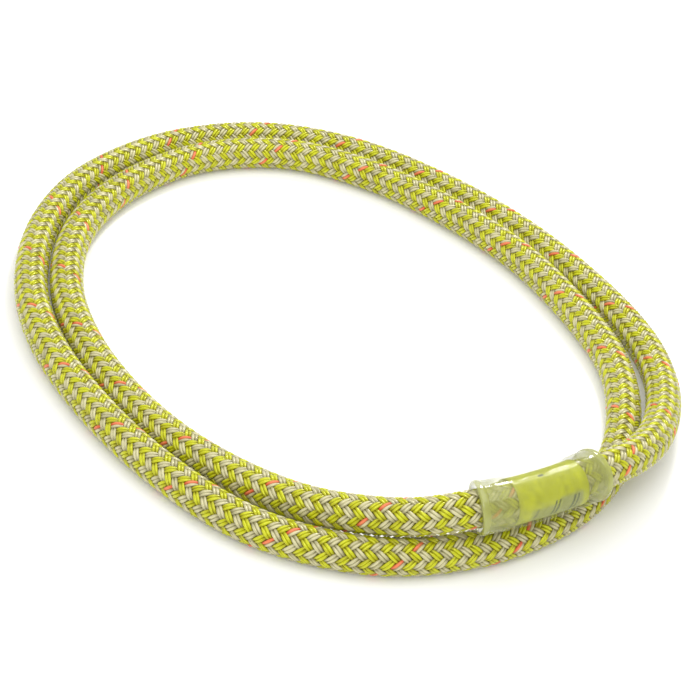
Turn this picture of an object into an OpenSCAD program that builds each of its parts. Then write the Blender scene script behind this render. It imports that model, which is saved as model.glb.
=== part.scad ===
// Endless rope sling: one loop of double-braid rope, laid down in two turns.
// Its two ends are spliced into each other, and a clear sleeve covers the splice and its label.
// Millimetres, +Z up. The rope lies on the plane z = 0, and the origin is in the middle of the turns.

/* [Rope] */
// Diameter of the rope
rope_d = 16; // [13:0.5:16]
// Thickness of the braided cover
cover_wall = 2.4; // [1.5:0.1:3]
// Opening left between the two ends of the cover, under the label
cover_gap = 3; // [1:0.5:6]

/* [Splice] */
// Diameter of each buried tail, where it enters the core
tail_d = 4.4; // [3:0.2:5]
// Diameter of each buried tail at its thinned end
tail_end_d = 1.6; // [1:0.2:3]
// Length of each buried tail
tail_length = 150; // [90:10:180]
// How much the rope's radius grows round the splice, where a tail fills each core
splice_swell = 1.4; // [0.8:0.1:1.5]
// Diameter of the lock stitching twine
twine_d = 1; // [0.6:0.1:1.2]
// Distance between two passes of the lock stitching
stitch_pitch = 5; // [4:0.5:5.5]

/* [Sleeve] */
// Length of the clear sleeve
sleeve_length = 59; // [54:1:60]
// Thickness of the sleeve over the label
sleeve_wall = 1.4; // [0.8:0.1:1.5]
// How far the rolled rim stands above the sleeve
rim_height = 0.5; // [0.2:0.05:0.6]
// Length of each rolled rim
rim_length = 1.6; // [1:0.1:2.5]
// Length of the label along the rope
label_length = 34; // [31:1:40]
// Thickness of the label
label_thickness = 0.25; // [0.15:0.05:0.35]

/* [Hidden] */

// Stops along the middle of the rope, as [x, y, height above lying on the ground].
// The first one is the middle of the sleeve. The rope goes right, back, left and front,
// passes under the sleeve, goes round again inside the first turn and climbs back to the start.
route = [
    [90, -146, 20], [115, -126, 20], [136, -97, 14], [147, -60, 6],
    [149, -20, 1], [140, 17, 0], [117, 60, 0], [84, 104, 0],
    [42, 142, 0], [-6, 169, 0], [-55, 174, 0], [-102, 152, 0],
    [-136, 109, 0], [-150, 59, 0], [-148, 6, 0], [-133, -42, 0],
    [-105, -89, 0], [-68, -132, 0], [-25, -164, 0], [23, -174, 0],
    [67, -161, 0], [102, -133, 0], [123, -97, 0], [131, -55, 0],
    [128, -11, 0], [111, 33, 0], [85, 77, 0], [50, 114, 0],
    [8, 144, 0], [-39, 158, 0], [-84, 143, 0], [-117, 104, 0],
    [-133, 56, 0], [-131, 5, 0], [-114, -43, 0], [-86, -87, 0],
    [-51, -124, 2], [-9, -153, 7], [32, -165, 14], [64, -161, 20]
];

rope_r = rope_d / 2;
rope_sides = 12;
sleeve_sides = 24;
rings_per_stop = 2;
stops = len(route);
ring_count = stops * rings_per_stop;

// Clearance that keeps two neighbouring layers apart.
slip = 0.1;
core_r = rope_r - cover_wall - slip;
bore_r = tail_d / 2 + slip;
core_gap = 0.4;

label_r = rope_r + splice_swell + slip;
sleeve_bore_r = label_r + label_thickness + slip;
sleeve_r = sleeve_bore_r + sleeve_wall;
rim_r = sleeve_r + rim_height;

// Past the label the sleeve shrinks onto the rope itself.
label_margin = 1;
sleeve_step = 0.3;

// Neither the sleeve nor its label has to sit exactly in the middle of the splice.
sleeve_shift = -1.5;
label_shift = 0;

// Passes of the lock stitching on each side of the splice's middle, the first one 2 mm past the cover's end.
stitch_count = 3;
stitch_start = cover_gap / 2 + 2;

// Curve through the stops: b to c is the present span, a and d are the stops beside it.
function spline(a, b, c, d, t) =
    b + (c - a) * t / 2
    + (2 * a - 5 * b + 4 * c - d) * t * t / 2
    + (3 * b - a - 3 * c + d) * t * t * t / 2;

function stop(i) = route[(i + stops) % stops];

// Point on the rope's middle at ring i, never lower than lying on the ground.
function on_route(i) =
    let (
        n = floor(i / rings_per_stop),
        t = i / rings_per_stop - n,
        p = spline(stop(n - 1), stop(n), stop(n + 1), stop(n + 2), t)
    )
    [p.x, p.y, rope_r + max(p.z, 0)];

function unit(v) = v / norm(v);

centres = [for (i = [0 : ring_count - 1]) on_route(i)];

// Directions of each ring: along the rope, to its side and up from it.
function next_of(i) = centres[(i + 1) % ring_count];
function last_of(i) = centres[(i + ring_count - 1) % ring_count];
along = [for (i = [0 : ring_count - 1]) unit(next_of(i) - last_of(i))];
side = [for (t = along) unit(cross(t, [0, 0, 1]))];
lift = [for (i = [0 : ring_count - 1]) cross(side[i], along[i])];

// A place on the rope is counted in stops. Between two rings every direction is blended evenly,
// so that all the layers share the same flats.
function blend(list, place) =
    let (
        ring = (place < 0 ? place + stops : place) * rings_per_stop,
        low = floor(ring),
        part = ring - low
    )
    list[low % ring_count] * (1 - part) + list[(low + 1) % ring_count] * part;

// Place of a point that many millimetres of rope after the middle of the sleeve, or before it.
span_after = norm(centres[1] - centres[0]) + norm(centres[2] - centres[1]);
span_before = norm(centres[0] - last_of(0)) + norm(last_of(0) - centres[ring_count - 2]);
function place_at(mm) = mm / (mm < 0 ? span_before : span_after);

// Growth of the rope's radius at a place: full up to half a stop from the splice's middle, none from one stop.
function swell(place) =
    let (off = place > stops / 2 ? stops - place : abs(place))
    splice_swell * min(max(2 - 2 * off, 0), 1);

function around(place, radius, sides) = [
    for (k = [0 : sides - 1])
        let (turn = 360 * k / sides)
        blend(centres, place)
        + radius * (cos(turn) * blend(side, place) + sin(turn) * blend(lift, place))
];

// The places of the rings strictly between two places, with both ends added.
function places(from, to) = concat(
    [from],
    [for (i = [floor(from * rings_per_stop) + 1 : ceil(to * rings_per_stop) - 1]) i / rings_per_stop],
    [to]
);

// The four corners of wall panel k between ring i and the next one.
function panel(i, k, sides, first) =
    let (
        here = first + i * sides,
        there = here + sides,
        next = (k + 1) % sides
    )
    [here + k, here + next, there + next, there + k];

// Two triangles that fill a panel, or the same two turned inside out.
function facing(q) = [[q[0], q[1], q[2]], [q[0], q[2], q[3]]];
function turned(q) = [[q[2], q[1], q[0]], [q[3], q[2], q[0]]];

// A hollow layer of the rope. Each entry of profile is [place, outer radius, inner radius].
module layer(profile, sides) {
    rings = len(profile);
    inner = rings * sides;
    last = (rings - 1) * sides;
    points = concat(
        [for (p = profile) each around(p[0], p[1], sides)],
        [for (p = profile) each around(p[0], p[2], sides)]
    );
    outer_wall = [for (i = [0 : rings - 2]) for (k = [0 : sides - 1]) each facing(panel(i, k, sides, 0))];
    inner_wall = [for (i = [0 : rings - 2]) for (k = [0 : sides - 1]) each turned(panel(i, k, sides, inner))];
    mouths = [
        for (k = [0 : sides - 1])
            let (next = (k + 1) % sides)
            each concat(
                facing([next, k, inner + k, inner + next]),
                facing([last + k, last + next, inner + last + next, inner + last + k])
            )
    ];
    polyhedron(points, concat(outer_wall, inner_wall, mouths), convexity = 10);
}

// A solid strand that follows the rope. Each entry of profile is [place, radius].
module strand(profile, sides) {
    rings = len(profile);
    last = (rings - 1) * sides;
    points = [for (p = profile) each around(p[0], p[1], sides)];
    wall = [for (i = [0 : rings - 2]) for (k = [0 : sides - 1]) each facing(panel(i, k, sides, 0))];
    near_end = [for (k = [2 : sides - 1]) [0, k, k - 1]];
    far_end = [for (k = [2 : sides - 1]) [last, last + k - 1, last + k]];
    polyhedron(points, concat(wall, near_end, far_end), convexity = 10);
}

// Round twine through the corners of a flat zigzag. up is square to the zigzag, and corners are mitred.
module twine(corners, up, sides) {
    last = len(corners) - 1;
    run = [for (i = [0 : last - 1]) unit(corners[i + 1] - corners[i])];
    ways = [for (i = [0 : last]) unit(run[max(i - 1, 0)] + run[min(i, last - 1)])];
    points = [
        for (i = [0 : last])
            let (
                out = cross(ways[i], up) / (ways[i] * run[min(i, last - 1)])
            )
            for (k = [0 : sides - 1])
                corners[i] + twine_d / 2 * (cos(360 * k / sides) * out + sin(360 * k / sides) * up)
    ];
    wall = [for (i = [0 : last - 1]) for (k = [0 : sides - 1]) each facing(panel(i, k, sides, 0))];
    near_end = [for (k = [2 : sides - 1]) [0, k, k - 1]];
    first = last * sides;
    far_end = [for (k = [2 : sides - 1]) [first, first + k - 1, first + k]];
    polyhedron(points, concat(wall, near_end, far_end), convexity = 10);
}

// One row of lock stitches. It goes through the rope from side to side
// and runs along its surface between two passes. way is 1 after the splice's middle and -1 before it.
module lock_stitches(way) {
    reach = rope_r + splice_swell - twine_d / 2;
    marks = [for (i = [0 : stitch_count - 1]) place_at(way * (stitch_start + i * stitch_pitch))];
    corners = [
        for (i = [0 : stitch_count - 1])
            for (edge = i % 2 == 0 ? [-reach, reach] : [reach, -reach])
                blend(centres, marks[i]) + edge * blend(side, marks[i])
    ];
    twine(corners, unit(blend(lift, marks[1])), 8);
}

// Outer braid, which stops on either side of the splice's middle.
module cover_braid() {
    from = place_at(cover_gap / 2);
    to = stops + place_at(-cover_gap / 2);
    color("gold")
        layer(
            [for (s = places(from, to)) [s, rope_r + swell(s), rope_r + swell(s) - cover_wall]],
            rope_sides
        );
}

// Inner braid, whose ends butt together in the splice's middle.
module core_braid() {
    from = place_at(core_gap / 2);
    to = stops + place_at(-core_gap / 2);
    color("ivory")
        layer([for (s = places(from, to)) [s, core_r + swell(s), bore_r]], rope_sides);
}

// Radius of a buried tail at a place: it thins evenly towards its end.
function tail_radius(place, end) =
    (tail_d + (tail_end_d - tail_d) * abs(place / end)) / 2;

// Cover end from the left, buried in the core after the splice's middle.
module buried_tail_left() {
    end = place_at(tail_length);
    color("khaki")
        strand([for (s = places(0, end)) [s, tail_radius(s, end)]], rope_sides);
}

// Cover end from the right, buried in the core before the splice's middle.
module buried_tail_right() {
    end = place_at(-tail_length);
    color("khaki")
        strand([for (s = places(end, 0)) [s, tail_radius(s, end)]], rope_sides);
}

module lock_stitching_left() {
    color("white")
        lock_stitches(-1);
}

module lock_stitching_right() {
    color("white")
        lock_stitches(1);
}

// Printed label, wrapped once round the middle of the splice.
module identification_label() {
    from = place_at(label_shift - label_length / 2);
    to = place_at(label_shift + label_length / 2);
    color("yellow")
        layer([for (s = places(from, to)) [s, label_r + label_thickness, label_r]], sleeve_sides);
}

// Distances from the splice's middle at which the sleeve's shape changes, on one side.
// way is 1 after the splice's middle and -1 before it.
function sleeve_marks(way, ring_mm) =
    let (
        label_end = label_length / 2 + way * label_shift + label_margin,
        sleeve_end = sleeve_length / 2 + way * sleeve_shift,
        rim_start = sleeve_end - rim_length
    )
    [ring_mm, label_end, label_end + sleeve_step, rim_start, rim_start + sleeve_step, sleeve_end];

// Profile of one half of the sleeve, from the splice's middle outwards.
function sleeve_half(way, ring_mm) =
    let (marks = sleeve_marks(way, ring_mm))
    [
        for (i = [0 : len(marks) - 1])
            let (place = place_at(way * marks[i]))
            [
                place,
                i > 3 ? rim_r : sleeve_r,
                i > 1 ? rope_r + swell(place) + slip : sleeve_bore_r
            ]
    ];

// Clear shrink sleeve with a rolled rim at each mouth.
module shrink_sleeve() {
    right = sleeve_half(1, span_after / rings_per_stop);
    left = sleeve_half(-1, span_before / rings_per_stop);
    left_first = [for (i = [len(left) - 1 : -1 : 0]) left[i]];
    color("lightgrey", 0.5)
        layer(concat(left_first, [[0, sleeve_r, sleeve_bore_r]], right), sleeve_sides);
}

cover_braid();
core_braid();
buried_tail_left();
buried_tail_right();
lock_stitching_left();
lock_stitching_right();
identification_label();
shrink_sleeve();
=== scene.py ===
# %% [markdown]
# # Endless rope sling
#
# The sling is one closed loop of round double-braid rope, laid down in two turns. A clear sleeve
# covers the splice that joins its ends. This lesson builds the look of each piece around the packed
# model: first the camera and the line that the rope follows, then the braid strand by strand,
# then the splice with its label and sleeve, and last the light and the ground.
# All sizes are in metres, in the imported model's own frame.

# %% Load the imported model
import math

import bpy
import numpy as np
from mathutils import Matrix, Vector


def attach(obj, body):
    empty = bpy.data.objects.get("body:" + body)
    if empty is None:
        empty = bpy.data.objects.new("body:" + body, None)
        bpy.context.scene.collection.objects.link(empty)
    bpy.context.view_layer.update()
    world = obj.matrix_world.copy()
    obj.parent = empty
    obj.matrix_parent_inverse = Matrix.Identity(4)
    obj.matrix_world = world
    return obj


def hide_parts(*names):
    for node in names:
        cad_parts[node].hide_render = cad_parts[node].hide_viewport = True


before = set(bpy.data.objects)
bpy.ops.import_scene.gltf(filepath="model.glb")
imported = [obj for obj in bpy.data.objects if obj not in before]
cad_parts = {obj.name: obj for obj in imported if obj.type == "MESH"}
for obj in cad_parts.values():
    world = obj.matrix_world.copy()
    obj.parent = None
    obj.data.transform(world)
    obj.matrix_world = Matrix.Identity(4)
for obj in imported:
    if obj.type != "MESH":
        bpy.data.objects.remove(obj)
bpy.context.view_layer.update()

scene = bpy.context.scene
MM = 0.001

# %% [markdown]
# ## The camera
#
# The sling lies flat, so it is seen from above its front edge with a long lens, at about a metre:
# the far side of the turns looks a quarter smaller than the near side. The camera stands in front
# of the sling, looks down at a little over a third of a right angle, and is rolled a few degrees,
# so the sling seems to lean to the right. A Track To constraint could aim it, but leaves no room
# for the roll. A camera's matrix holds three directions, its right, its up and its back, so these
# are worked out and set.

# %% Camera
look_down = math.radians(33.0)
roll = math.radians(6.5)
camera_place = (5.5 * MM, -874.4 * MM, 560 * MM)
focal_length = 113.14
sensor_width = 36.0

level_right = np.array([1.0, 0.0, 0.0])
level_up = np.array([0.0, math.sin(look_down), math.cos(look_down)])
right = math.cos(roll) * level_right + math.sin(roll) * level_up
up = math.cos(roll) * level_up - math.sin(roll) * level_right
back = np.cross(right, up)

lens_data = bpy.data.cameras.new("camera")
lens_data.lens = focal_length
lens_data.sensor_width = sensor_width
lens_data.clip_start = 0.05
camera = bpy.data.objects.new("camera", lens_data)
scene.collection.objects.link(camera)
turned = Matrix((right, up, back)).transposed().to_4x4()
camera.matrix_world = Matrix.Translation(camera_place) @ turned
scene.camera = camera
print("camera at", [round(c, 3) for c in camera.location], "lens", lens_data.lens)

# %% [markdown]
# ## The line of the rope
#
# Everything on a rope is placed by how far along it lies, so its middle line comes first. It goes
# through stops about three rope widths apart: x, y and the height above lying on the ground, in
# millimetres. The first stop is the middle of the splice. The rope could be a Bezier curve object,
# but a curve object can't tell a script where a point 0.731 m along it is. A spline worked out with
# numpy can, and every strand below asks it.

# %% Stops of the rope's middle line
rope_d = 16 * MM
rope_r = rope_d / 2
route = [
    (90, -146, 20), (115, -126, 20), (136, -97, 14), (147, -60, 6),
    (149, -20, 1), (140, 17, 0), (117, 60, 0), (84, 104, 0),
    (42, 142, 0), (-6, 169, 0), (-55, 174, 0), (-102, 152, 0),
    (-136, 109, 0), (-150, 59, 0), (-148, 6, 0), (-133, -42, 0),
    (-105, -89, 0), (-68, -132, 0), (-25, -164, 0), (23, -174, 0),
    (67, -161, 0), (102, -133, 0), (123, -97, 0), (131, -55, 0),
    (128, -11, 0), (111, 33, 0), (85, 77, 0), (50, 114, 0),
    (8, 144, 0), (-39, 158, 0), (-84, 143, 0), (-117, 104, 0),
    (-133, 56, 0), (-131, 5, 0), (-114, -43, 0), (-86, -87, 0),
    (-51, -124, 2), (-9, -153, 7), (32, -165, 14), (64, -161, 20),
]
print(len(route), "stops, the highest", max(stop[2] for stop in route), "mm above lying flat")

# %% Spline through the stops
steps_per_stop = 64
stops = np.array(route, float) * MM
before, after, beyond = (np.roll(stops, shift, axis=0) for shift in (1, -1, -2))
t = (np.arange(steps_per_stop) / steps_per_stop)[None, :, None]
b0, b1, b2, b3 = (p[:, None, :] for p in (before, stops, after, beyond))
line = 0.5 * (
    2 * b1
    + (b2 - b0) * t
    + (2 * b0 - 5 * b1 + 4 * b2 - b3) * t**2
    + (3 * b1 - b0 - 3 * b2 + b3) * t**3
)
line = line.reshape(-1, 3)
line[:, 2] = rope_r + np.maximum(line[:, 2], 0)
print(len(line), "points on the middle line")

# %% Distance and directions along the line
def unit(v):
    """Vectors of length 1 in the same directions."""
    return v / np.linalg.norm(v, axis=-1, keepdims=True)


steps = np.linalg.norm(np.roll(line, -1, axis=0) - line, axis=1)
rope_length = float(steps.sum())
walked = np.concatenate([[0.0], np.cumsum(steps)])
ahead = unit(np.roll(line, -1, axis=0) - np.roll(line, 1, axis=0))
sideways = unit(np.cross(ahead, [0.0, 0.0, 1.0]))
upwards = np.cross(sideways, ahead)
closed = [np.vstack([a, a[:1]]) for a in (line, sideways, upwards)]


def on_rope(s):
    """Middle, side and up directions at the distances s along the rope."""
    s = np.mod(s, rope_length)
    return [np.stack([np.interp(s, walked, a[:, k]) for k in range(3)], -1) for a in closed]


print(f"rope {rope_length:.3f} m in the closed loop")

# %% [markdown]
# ## Turning rows of points into a mesh
#
# A strand, the core, the label and the sleeve are all the same thing to a mesh: rings of points,
# one after the other, joined by four-sided faces. Blender's bevelled curves could sweep a round
# section, but not one that swells, flattens and carries its own colour coordinates. So one helper
# joins rings, and it takes numpy arrays, because the braid has some 800 000 points. A piece can
# be made of several such sweeps.

# %% Helpers for swept pieces
def ring_faces(rings, sides, first=0, closed_along=False):
    """Faces between each ring and the next, all facing out of the sweep."""
    last = rings if closed_along else rings - 1
    here = np.arange(last)[:, None] * sides
    there = (np.arange(last)[:, None] + 1) % rings * sides
    k = np.arange(sides)[None, :]
    n = (k + 1) % sides
    return first + np.stack([here + k, there + k, there + n, here + n], -1).reshape(-1, 4)


def build_piece(name, points, faces, places):
    """A smooth mesh object from arrays. places are its own coordinates, kept at every point."""
    mesh = bpy.data.meshes.new(name)
    mesh.vertices.add(len(points))
    mesh.vertices.foreach_set("co", np.ascontiguousarray(points, np.float32).ravel())
    mesh.loops.add(faces.size)
    mesh.loops.foreach_set("vertex_index", faces.astype(np.int32).ravel())
    mesh.polygons.add(len(faces))
    corners = faces.shape[1]
    mesh.polygons.foreach_set("loop_start", np.arange(0, faces.size, corners, dtype=np.int32))
    mesh.polygons.foreach_set("loop_total", np.full(len(faces), corners, np.int32))
    mesh.update(calc_edges=True)
    mesh.polygons.foreach_set("use_smooth", np.ones(len(faces), bool))
    kept = mesh.attributes.new("place", "FLOAT_VECTOR", "POINT")
    kept.data.foreach_set("vector", np.ascontiguousarray(places, np.float32).ravel())
    piece = bpy.data.objects.new(name, mesh)
    scene.collection.objects.link(piece)
    return piece


print("a sweep of 3 rings with 6 sides has", len(ring_faces(3, 6)), "faces")

# %% [markdown]
# ## Yarn finishes
#
# Polyester yarn is a bundle of fine shiny filaments. Close up it shows thin streaks along its
# length. Its colour also carries painted light: a painted highlight where the strand rises over
# its neighbours, and painted shade, dull and dark, where it dives under them. An image of rope
# could carry all that, but it would stretch in the bends. Instead each strand's mesh keeps three
# numbers at every point: how far along it is, how far across, and how high it rides, which sets
# the painted light and shade. The nodes read them, so the streaks and the painted light follow
# every strand.

# %% Small helpers for node trees
def new_material(name):
    """A material with its node tree and its shader."""
    material = bpy.data.materials.new(name)
    material.use_nodes = True
    tree = material.node_tree
    return material, tree, tree.nodes["Principled BSDF"]


def add_node(tree, kind, **settings):
    """A node of one kind, with its settings."""
    node = tree.nodes.new(kind)
    for key, value in settings.items():
        setattr(node, key, value)
    return node


def own_places(tree):
    """The coordinates that a swept piece keeps: the whole vector, then its three numbers."""
    kept = add_node(tree, "ShaderNodeAttribute", attribute_name="place")
    split = add_node(tree, "ShaderNodeSeparateXYZ")
    tree.links.new(kept.outputs["Vector"], split.inputs["Vector"])
    return (kept.outputs["Vector"], *split.outputs)


def arithmetic(tree, operation, first, second=0.0):
    """One sum on two numbers or sockets."""
    node = add_node(tree, "ShaderNodeMath", operation=operation)
    for socket, value in zip(node.inputs, (first, second)):
        if isinstance(value, (int, float)):
            socket.default_value = value
        else:
            tree.links.new(value, socket)
    return node.outputs["Value"]


# %% Helpers for grain and colour
def stretched_noise(tree, vector, stretch, detail=3.0):
    """Noise with its own grain size along each axis."""
    mapping = add_node(tree, "ShaderNodeMapping")
    mapping.inputs["Scale"].default_value = stretch
    noise = add_node(tree, "ShaderNodeTexNoise")
    noise.inputs["Scale"].default_value = 1.0
    noise.inputs["Detail"].default_value = detail
    noise.inputs["Roughness"].default_value = 0.6
    tree.links.new(vector, mapping.inputs["Vector"])
    tree.links.new(mapping.outputs["Vector"], noise.inputs["Vector"])
    return noise.outputs["Fac"]


def ramp(tree, factor, colours):
    """A colour for each factor. colours are pairs of a position and a colour."""
    node = add_node(tree, "ShaderNodeValToRGB")
    elements = node.color_ramp.elements
    for element, (position, colour) in ((elements[0], colours[0]), (elements[1], colours[-1])):
        element.position = position
        element.color = (*colour, 1)
    for position, colour in colours[1:-1]:
        elements.new(position).color = (*colour, 1)
    tree.links.new(factor, node.inputs["Fac"])
    return node.outputs["Color"]


# %% Yarn material
filament_grain = (180.0, 5200.0, 0.0)
patch_grain = (35.0, 200.0, 0.0)
colour_unevenness = 0.65
gloss_unevenness = 0.35
glossiest_drop = 0.17
filament_depth = 0.12 * MM


def yarn_material(name, low, middle, high, roughness):
    """Filament yarn: low is painted shade where it dives, middle its flank, high a painted highlight
    on its crown.
    """
    material, tree, shader = new_material(name)
    place, _, _, painted_light_height = own_places(tree)
    filaments = stretched_noise(tree, place, filament_grain)
    patches = stretched_noise(tree, place, patch_grain, detail=1.0)

    uneven = arithmetic(tree, "SUBTRACT", arithmetic(tree, "ADD", filaments, patches), 1.0)
    shift = arithmetic(tree, "MULTIPLY", uneven, colour_unevenness)
    # The ramp paints light and shade: the low colour is painted shade, the high one a painted
    # highlight.
    height = arithmetic(tree, "ADD", painted_light_height, shift)
    colour = ramp(tree, height, [(0.32, low), (0.7, middle), (1.0, high)])
    tree.links.new(colour, shader.inputs["Base Color"])

    gloss = arithmetic(tree, "MULTIPLY", filaments, gloss_unevenness)
    gloss = arithmetic(tree, "ADD", gloss, roughness - glossiest_drop)
    tree.links.new(gloss, shader.inputs["Roughness"])
    bump = add_node(tree, "ShaderNodeBump")
    bump.inputs["Strength"].default_value = 0.5
    bump.inputs["Distance"].default_value = filament_depth
    tree.links.new(filaments, bump.inputs["Height"])
    tree.links.new(bump.outputs["Normal"], shader.inputs["Normal"])

    shader.inputs["Sheen Weight"].default_value = 0.12
    shader.inputs["Sheen Roughness"].default_value = 0.4
    shader.inputs["IOR"].default_value = 1.55
    shader.inputs["Specular IOR Level"].default_value = 1.0
    glint = tuple(0.35 + 0.65 * c / max(high) for c in high)
    shader.inputs["Specular Tint"].default_value = (*glint, 1)
    shader.inputs["Sheen Tint"].default_value = (*glint, 1)
    return material


# %% The three yarns of the cover
# Each yarn has a painted-shade colour, a flank colour and a painted-highlight colour, then its
# roughness.
yellow_yarn = yarn_material(
    "yellow yarn", (0.06, 0.045, 0.0), (0.27, 0.24, 0.0), (0.58, 0.60, 0.008), 0.22
)
grey_yarn = yarn_material(
    "warm grey yarn", (0.07, 0.052, 0.01), (0.25, 0.225, 0.10), (0.62, 0.58, 0.33), 0.25
)
orange_yarn = yarn_material(
    "orange tracer yarn", (0.22, 0.03, 0.01), (0.62, 0.09, 0.025), (0.85, 0.24, 0.10), 0.4
)
print("yarns:", ", ".join(m.name for m in (yellow_yarn, grey_yarn, orange_yarn)))

# %% [markdown]
# ## The braided cover
#
# The cover has 24 strands: half wind round the rope one way and half the other, and each goes
# over two and under two of the others. Each strand is a pair of yarns side by side, and yellow
# and grey strands alternate both ways, which gives the zigzag rows. One orange yarn in one grey
# strand is the tracer. A bump map on a tube would look right only from far away. Here each yarn
# is swept as real geometry: it winds along the rope and rises and falls as it passes the others.
# The number of repeats is whole, so the pattern of strands lines up where the loop closes. The
# label hides the small gap that is left there.

# %% Braid pattern
strands_each_way = 12
repeats = 230
repeat_length = rope_length / repeats
lay_length = repeat_length * strands_each_way / 2
pattern_start = 3.0 * MM
print(f"one repeat {repeat_length / MM:.2f} mm, one turn of a strand {lay_length / MM:.1f} mm")

# %% Thicker rope at the splice
splice_swell = 1.4 * MM
swell_end = 30 * MM
swell_fade = 15 * MM


def swell(s):
    """How much thicker the rope's radius is round the splice, where a tail fills each core."""
    off_middle = np.abs(np.mod(s + rope_length / 2, rope_length) - rope_length / 2)
    return splice_swell * np.clip((swell_end - off_middle) / swell_fade, 0, 1)


print(f"swell {swell(0) / MM:.1f} mm in the splice and {swell(rope_length / 2) / MM:.1f} mm opposite")

# %% Middle line of a strand
braid_mid_r = 6.76 * MM
braid_swing = 0.66 * MM
flank_fullness = 0.08


def strand_line(index, way, s):
    """Middle of a strand, and how high it rides from -1 to 1. way is 1 or -1 for its winding."""
    wound = way * (s - pattern_start)
    turn = 2 * np.pi * (index / strands_each_way + wound / lay_length)
    crossing = 2 * index + 4 * wound / repeat_length
    ride = way * np.cos((crossing - 0.5) * np.pi / 2)
    plump = ride * (1 + flank_fullness * (1 - ride**2))
    radius = braid_mid_r + swell(s) + braid_swing * plump
    middle, side, lift = on_rope(s)
    spoke = np.cos(turn)[:, None] * side + np.sin(turn)[:, None] * lift
    return middle + radius[:, None] * spoke, spoke, plump


lowest, highest = braid_mid_r - braid_swing, braid_mid_r + braid_swing
print(f"strands ride from {lowest / MM:.2f} to {highest / MM:.2f} mm out")

# %% Section of a yarn
rings_per_repeat = 12
yarn_sides = 6
yarn_offset = 0.64 * MM
yarn_half_width = 0.70 * MM
yarn_half_height = 0.68 * MM
crown_spread = 0.12
cover_gap = 3 * MM
s_rings = np.linspace(cover_gap / 2, rope_length - cover_gap / 2, repeats * rings_per_repeat)
corner = 2 * np.pi * (np.arange(yarn_sides) + 0.5) / yarn_sides
print(len(s_rings), "rings on each yarn")

# %% One yarn of a strand
def sweep_yarn(index, way, lane):
    """Points and coordinates of one yarn. lane is -1 or 1, its side of the strand."""
    middle, spoke, plump = strand_line(index, way, s_rings)
    forward = unit(np.gradient(middle, axis=0))
    across = unit(np.cross(spoke, forward))
    outward = np.cross(forward, across)
    spread = 1 + crown_spread * plump
    middle = middle + (lane * yarn_offset * spread)[:, None] * across
    wide = (yarn_half_width * spread)[:, None, None] * across[:, None, :]
    high = yarn_half_height * outward[:, None, :]
    points = middle[:, None, :] + np.cos(corner)[:, None] * wide + np.sin(corner)[:, None] * high
    # Each yarn starts at its own place in the noise, so that no two look the same.
    own_start = 3.7 * index + 71 * (way > 0) + 1.3 * lane
    places = np.empty_like(points)
    places[:, :, 0] = (s_rings + own_start)[:, None]
    places[:, :, 1] = np.cos(corner) * yarn_half_width
    # The third number drives the painted light and shade: high where the strand rides over its
    # neighbours and on each yarn's outer face, low where it dives and underneath.
    places[:, :, 2] = (0.5 + 0.32 * plump)[:, None] + 0.2 * np.sin(corner)
    return points.reshape(-1, 3), places.reshape(-1, 3)


def build_yarns(name, yarns, material):
    """One piece from several yarns, each given as (index, way, lane)."""
    swept = [sweep_yarn(*yarn) for yarn in yarns]
    size = len(swept[0][0])
    faces = [ring_faces(len(s_rings), yarn_sides, first=k * size) for k in range(len(swept))]
    piece = build_piece(
        name,
        np.vstack([points for points, _ in swept]),
        np.vstack(faces),
        np.vstack([places for _, places in swept]),
    )
    piece.data.materials.append(material)
    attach(piece, "root")
    return piece


# %% All the strands of the cover
tracer = (3, 1, 1)
for way, hand in ((1, "right"), (-1, "left")):
    for shade, material, odd in (("yellow", yellow_yarn, 0), ("grey", grey_yarn, 1)):
        carriers = list(range(odd, strands_each_way, 2))
        for number, pair in enumerate(zip(carriers[::2], carriers[1::2]), 1):
            yarns = [(index, way, lane) for index in pair for lane in (-1, 1)]
            yarns = [yarn for yarn in yarns if yarn != tracer]
            name = f"cover_strands_{hand}_{shade}_{number}"
            build_yarns(name, yarns, material)
build_yarns("cover_tracer_yarn", [tracer], orange_yarn)

# %% [markdown]
# ## The core of the rope
#
# Under the cover lies a second, plain braid. Only glints of it can show between strands, so a
# plain tube is enough. Its yarn is painted dark, as painted shade in the gaps between the strands.
# It is swept along the same line. It starts and ends in the middle of the splice, where the rope's
# two ends meet.

# %% Core
core_shown_r = 5.8 * MM
core_sides = 16
core_rings = 600
core_gap = 0.4 * MM
# A fixed low height, so that the ramp gives the core its painted-shade colour.
core_shade_height = 0.3
core_s = np.linspace(core_gap / 2, rope_length - core_gap / 2, core_rings)
core_line, core_side, core_lift = on_rope(core_s)
core_turn = 2 * np.pi * np.arange(core_sides) / core_sides
core_spoke = (
    np.cos(core_turn)[:, None] * core_side[:, None, :]
    + np.sin(core_turn)[:, None] * core_lift[:, None, :]
)
core_radius = core_shown_r + swell(core_s)
core_points = core_line[:, None, :] + core_radius[:, None, None] * core_spoke
core_places = np.empty_like(core_points)
core_places[:, :, 0] = core_s[:, None]
core_places[:, :, 1] = core_shown_r * np.sin(core_turn)
core_places[:, :, 2] = core_shade_height
core = build_piece(
    "rope_core",
    core_points.reshape(-1, 3),
    ring_faces(core_rings, core_sides),
    core_places.reshape(-1, 3),
)
print("core", len(core.data.polygons), "faces")

# %% Core finish, and the imported braids hidden
# The core's yarn colours are dark: painted shade in the gaps between the strands.
core_shade_yarn = yarn_material(
    "core yarn in painted shade", (0.10, 0.075, 0.02), (0.20, 0.16, 0.06), (0.42, 0.38, 0.22), 0.6
)
core.data.materials.append(core_shade_yarn)
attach(core, "root")
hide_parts("core_braid")
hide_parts("cover_braid")

# %% [markdown]
# ## Shells round the rope
#
# The label and the sleeve both lie round the rope and have a real thickness. A cylinder with a
# Solidify modifier would do on a straight rope, but the splice is bent and the sleeve's wall
# varies. So a shell is swept like a strand: its rings run along the outside and come back along
# the bore, which leaves no open edge. Its own coordinates are millimetres along the rope and a
# direction round it.

# %% Helper for shells
shell_sides = 96
shell_turn = 2 * np.pi * np.arange(shell_sides) / shell_sides


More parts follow.
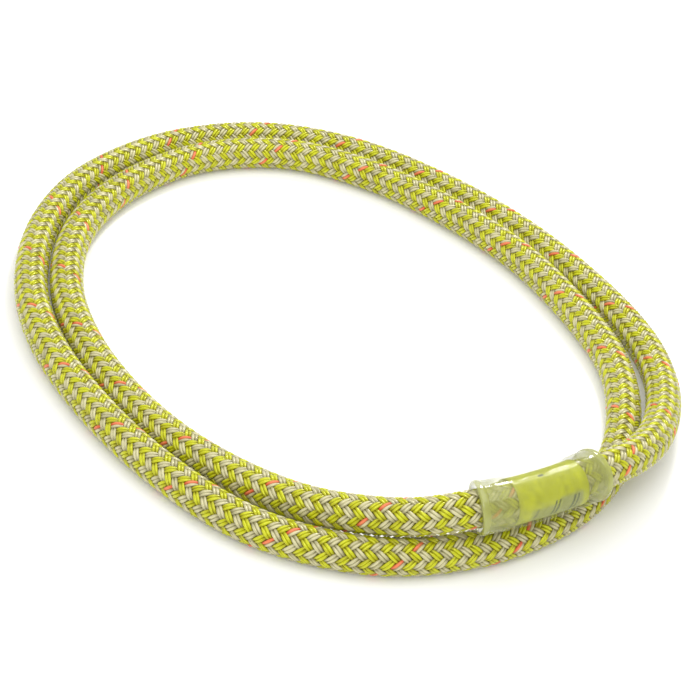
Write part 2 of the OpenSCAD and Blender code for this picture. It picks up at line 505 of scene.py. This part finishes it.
def sweep_shell(name, marks, outer, inner):
    """A closed thick tube round the rope. marks are distances from the splice's middle."""
    middle, side, lift = on_rope(marks)
    spoke = (
        np.cos(shell_turn)[:, None] * side[:, None, :]
        + np.sin(shell_turn)[:, None] * lift[:, None, :]
    )
    rings = np.concatenate([outer, inner[::-1]], axis=0)
    middle = np.concatenate([middle, middle[::-1]])[:, None, :]
    spoke = np.concatenate([spoke, spoke[::-1]])
    points = middle + rings[:, :, None] * spoke
    places = np.empty_like(points)
    places[:, :, 0] = np.concatenate([marks, marks[::-1]])[:, None] / MM
    places[:, :, 1] = np.cos(shell_turn)
    places[:, :, 2] = np.sin(shell_turn)
    faces = ring_faces(len(rings), shell_sides, closed_along=True)
    return build_piece(name, points.reshape(-1, 3), faces, places.reshape(-1, 3))


print("shells have", shell_sides, "sides")

# %% [markdown]
# ## The label
#
# The label is a strip of yellow film wrapped once round the middle of the splice, under the
# sleeve. Its print is generic: a grey-green block and a few slanted bars that can't be read.
# The print could be drawn as thin raised shapes, but ink has no thickness, so nodes draw it from
# the label's own coordinates: millimetres along the rope and millimetres round it.

# %% Label sizes and mesh
label_half = 17 * MM
label_play = 0.12 * MM
label_thickness = 0.25 * MM
label_rings = 61
label_bore_r = rope_r + splice_swell + label_play
label_marks = np.linspace(-label_half, label_half, label_rings)
label_inner = np.full((label_rings, shell_sides), label_bore_r)
label = sweep_shell(
    "identification_label_wrap", label_marks, label_inner + label_thickness, label_inner
)
print("label", round(2 * label_half / MM), "mm along the rope")

# %% Helpers for printed marks
def eased(tree, value, start, end, low=0.0, high=1.0):
    """A smooth step from low to high as value goes from start to end."""
    node = add_node(tree, "ShaderNodeMapRange", interpolation_type="SMOOTHSTEP")
    node.inputs["From Min"].default_value = start
    node.inputs["From Max"].default_value = end
    node.inputs["To Min"].default_value = low
    node.inputs["To Max"].default_value = high
    tree.links.new(value, node.inputs["Value"])
    return node.outputs["Result"]


def window(tree, value, low, high, soft):
    """1 where value is between low and high, fading out over soft."""
    rise = eased(tree, value, low - soft, low + soft)
    fall = eased(tree, value, high + soft, high - soft)
    return arithmetic(tree, "MULTIPLY", rise, fall)


def printed_marks(tree, along, around, marks, soft):
    """Ink from rectangles. A mark is its start and end along, start and end around, and ink."""
    strongest = 0.0
    for along_from, along_to, around_from, around_to, ink in marks:
        lengthways = window(tree, along, along_from, along_to, soft)
        crossways = window(tree, around, around_from, around_to, soft)
        mark = arithmetic(tree, "MULTIPLY", lengthways, crossways)
        strongest = arithmetic(tree, "MAXIMUM", strongest, arithmetic(tree, "MULTIPLY", mark, ink))
    return strongest


def print_over(tree, ink, ground, ink_colour):
    """A constant ink colour over the colour of the ground."""
    node = add_node(tree, "ShaderNodeMix", data_type="RGBA")
    factor, below, above = node.inputs[0], node.inputs[6], node.inputs[7]
    above.default_value = (*ink_colour, 1)
    tree.links.new(ink, factor)
    tree.links.new(ground, below)
    return node.outputs[2]


# %% Label film
label_film, tree, shader = new_material("printed label film")
place, along, front, top = own_places(tree)
angle = arithmetic(tree, "ARCTAN2", top, front)
around = arithmetic(tree, "MULTIPLY", angle, label_bore_r / MM)
mottle = stretched_noise(tree, place, (0.25, 1.5, 1.5), detail=2.0)
film = ramp(tree, mottle, [(0.3, (0.40, 0.42, 0.005)), (0.7, (0.52, 0.55, 0.012))])
shader.inputs["Roughness"].default_value = 0.45
print("film with", len(tree.nodes), "nodes before the print")

# %% Label print
grey_block = ((-11, 6, -14, 1.0, 0.65), (3, 14, -14, 3.5, 0.8))
bar_slant = -0.25
dark_bars = (
    (-9.0, -7.9, -4.0, 1.0, 0.6),
    (-0.3, 0.6, -4.5, 2.8, 1.0),
    (1.5, 2.5, -4.5, 2.8, 1.0),
    (8.8, 9.9, -4.5, 2.8, 1.0),
    (10.8, 11.6, -4.5, 2.8, 1.0),
    (-7.5, -4.5, 14.4, 15.6, 1.0),
)
block = printed_marks(tree, along, around, grey_block, 1.2)
film = print_over(tree, block, film, (0.24, 0.26, 0.11))
slanted = arithmetic(tree, "ADD", along, arithmetic(tree, "MULTIPLY", around, bar_slant))
bars = printed_marks(tree, slanted, around, dark_bars, 0.3)
speckle = stretched_noise(tree, place, (1.2, 9.0, 9.0), detail=2.0)
bars = arithmetic(tree, "MULTIPLY", bars, arithmetic(tree, "ADD", speckle, 0.4))
film = print_over(tree, bars, film, (0.03, 0.05, 0.02))
tree.links.new(film, shader.inputs["Base Color"])
label.data.materials.append(label_film)
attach(label, "root")
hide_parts("identification_label")
print("print of", len(grey_block), "block parts and", len(dark_bars), "bars")

# %% [markdown]
# ## The shrink sleeve
#
# The sleeve is a tube of clear plastic that was shrunk over the splice with heat. It is milky, it
# grips the rope past the label, and each mouth has drawn back into a thick rounded rim. A solid
# with a wall is needed and not a single skin, because the rim's thickness shows at the mouths.
# Real glass shading would bend the braid behind it and sparkle with noise. Plain see-through
# with a gloss on top is closer to a thin hazy film, and it is hazier towards the mouths.

# %% Rings of the sleeve
sleeve_half = 29.5 * MM
sleeve_shift = -1.5 * MM
# The rings lie close together at the mouths, where the rim is round, and far apart between them.
inwards = sleeve_half - np.geomspace(0.02, 59, 90) * MM
inwards = inwards[inwards > 0]
sleeve_marks = np.unique(np.concatenate([inwards, -inwards, [0.0]]))
from_mouth = sleeve_half - np.abs(sleeve_marks)
off_label = np.abs(sleeve_marks + sleeve_shift) - label_half
first_step = from_mouth[1] - from_mouth[0]
print(len(sleeve_marks), "rings, the first two", round(first_step / MM, 3), "mm apart")

# %% Outside of the sleeve
sleeve_r = 11.25 * MM
rim_height = 0.45 * MM
rim_reach = 1.4 * MM
mouth_drop = 0.55 * MM
mouth_reach = 0.6 * MM
grip_drop = 0.12 * MM
grip_start = 1.5 * MM
grip_fade = 0.6 * MM
# Shrinking leaves shallow waves: their height in mm, radians per mm, lobes round and start.
shrink_waves = ((0.05, 0.42, 2, 0.0), (0.035, 0.9, -3, 1.3), (0.02, 1.7, 5, 0.4))

rim = rim_height * np.sqrt(np.clip(1 - (from_mouth / rim_reach - 1) ** 2, 0, 1))
grip = grip_drop / (1 + np.exp((grip_start - off_label) / grip_fade))
waves = sum(
    height * np.sin(pitch * sleeve_marks[:, None] / MM + lobes * shell_turn + start)
    for height, pitch, lobes, start in shrink_waves
)
rounding = 1 - np.clip(from_mouth / mouth_reach, 0, 1)
mouth_round = mouth_drop * (1 - np.sqrt(1 - rounding**2))
sleeve_outer = (sleeve_r + rim - grip - mouth_round)[:, None] + waves * MM
print(f"sleeve radius {sleeve_outer.min() / MM:.2f} to {sleeve_outer.max() / MM:.2f} mm")

# %% Bore of the sleeve
play_on_label = 0.08 * MM
play_on_rope = 0.1 * MM
step_past_label = 1 * MM
over_label = label_bore_r + label_thickness + play_on_label
over_rope = rope_r + play_on_rope + swell(sleeve_marks + sleeve_shift)
sleeve_bore = np.where(off_label < step_past_label, over_label, over_rope)
sleeve_inner = np.repeat(sleeve_bore[:, None], shell_sides, axis=1)
sleeve = sweep_shell(
    "shrink_sleeve_tube", sleeve_marks + sleeve_shift, sleeve_outer, sleeve_inner
)
print("sleeve", round(2 * sleeve_half / MM), "mm long,", len(sleeve.data.polygons), "faces")

# %% Sleeve finish
milky, tree, shader = new_material("milky clear sleeve")
place, along, _, _ = own_places(tree)
from_label = arithmetic(tree, "ABSOLUTE", along)
from_centre = arithmetic(tree, "ABSOLUTE", arithmetic(tree, "SUBTRACT", along, sleeve_shift / MM))
haze = eased(tree, from_label, 15.0, 21.0, 0.12, 0.4)
mouth_haze = eased(tree, from_centre, 25.0, 29.0, 0.0, 0.3)
cloud = stretched_noise(tree, place, (0.35, 3.0, 3.0), detail=2.0)
cloudy = arithmetic(tree, "MULTIPLY", arithmetic(tree, "SUBTRACT", cloud, 0.5), 0.25)
milkiness = arithmetic(tree, "ADD", haze, mouth_haze)
tree.links.new(arithmetic(tree, "ADD", milkiness, cloudy), shader.inputs["Alpha"])
shader.inputs["Base Color"].default_value = (0.45, 0.47, 0.12, 1)
shader.inputs["Roughness"].default_value = 0.15
shader.inputs["IOR"].default_value = 1.5
shader.inputs["Coat Weight"].default_value = 1.0
shader.inputs["Coat Roughness"].default_value = 0.08
sleeve.data.materials.append(milky)
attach(sleeve, "root")
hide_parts("shrink_sleeve")
print("sleeve finish with", len(tree.nodes), "nodes")

# %% [markdown]
# ## The hidden parts of the splice
#
# The buried tails and the lock stitching lie inside the rope. They could be swept again with
# strands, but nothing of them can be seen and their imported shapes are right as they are. So they
# stay, and only get a finish of short cream fibres.

# %% Cream fibre finish
cream, tree, shader = new_material("cream fibres")
spot = add_node(tree, "ShaderNodeTexCoord")
fibres = stretched_noise(tree, spot.outputs["Object"], (900.0, 900.0, 3000.0))
cream_colour = ramp(tree, fibres, [(0.3, (0.45, 0.41, 0.30)), (0.7, (0.80, 0.77, 0.66))])
tree.links.new(cream_colour, shader.inputs["Base Color"])
shader.inputs["Roughness"].default_value = 0.7
hidden = ("buried_tail_left", "buried_tail_right", "lock_stitching_left", "lock_stitching_right")
for node in hidden:
    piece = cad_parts[node]
    piece.data.materials.clear()
    piece.data.materials.append(cream)
print(len(hidden), "hidden parts finished")

# %% [markdown]
# ## The light
#
# The sling is shown as in a bright studio: pale air all round, a wide soft lamp above, and a weak
# lamp in front for the near sides of the strands. A single lamp would be simpler, but the sleeve
# would look flat. So a small lamp behind is placed where the sleeve's top mirrors it towards the
# camera, and draws the bright streak along the plastic.

# %% Light
scene.view_settings.view_transform = "Standard"
scene.view_settings.look = "None"
world = bpy.data.worlds.new("studio air")
world.use_nodes = True
world.node_tree.nodes["Background"].inputs["Color"].default_value = (1.0, 1.0, 1.0, 1)
world.node_tree.nodes["Background"].inputs["Strength"].default_value = 0.62
scene.world = world


def soft_lamp(name, place, size, watts):
    """A square lamp that shines at the middle of the sling."""
    data = bpy.data.lights.new(name, "AREA")
    data.size = size
    data.energy = watts
    lamp = bpy.data.objects.new(name, data)
    scene.collection.objects.link(lamp)
    lamp.location = place
    lamp.rotation_euler = (-Vector(place)).to_track_quat("-Z", "Y").to_euler()


lamps = (
    ("overhead softbox", (0.1, -0.2, 1.5), 1.6, 13),
    ("back lamp", (0.2, 0.79, 0.95), 0.22, 6),
    ("front lamp", (-0.2, -1.1, 1.0), 0.6, 4),
)
for lamp in lamps:
    soft_lamp(*lamp)
print(len(lamps), "lamps,", sum(lamp[3] for lamp in lamps), "watts in all")

# %% [markdown]
# ## The ground
#
# The sling lies on plain pale paper. A plane is enough, because its edges are six metres away. It
# glows very slightly, which keeps it white round the sling with a faint shadow under the rope. From
# a low angle its far part still turns grey.

# %% Ground
reach = 6.0
ground_mesh = bpy.data.meshes.new("ground")
ground_mesh.from_pydata(
    [(-reach, -reach, 0), (reach, -reach, 0), (reach, reach, 0), (-reach, reach, 0)],
    [],
    [(0, 1, 2, 3)],
)
ground = bpy.data.objects.new("ground", ground_mesh)
scene.collection.objects.link(ground)
paper, tree, shader = new_material("pale ground")
shader.inputs["Base Color"].default_value = (0.9, 0.9, 0.9, 1)
shader.inputs["Roughness"].default_value = 0.9
shader.inputs["Emission Color"].default_value = (1.0, 1.0, 1.0, 1)
shader.inputs["Emission Strength"].default_value = 0.12
ground_mesh.materials.append(paper)
print("ground", 2 * reach, "m wide")
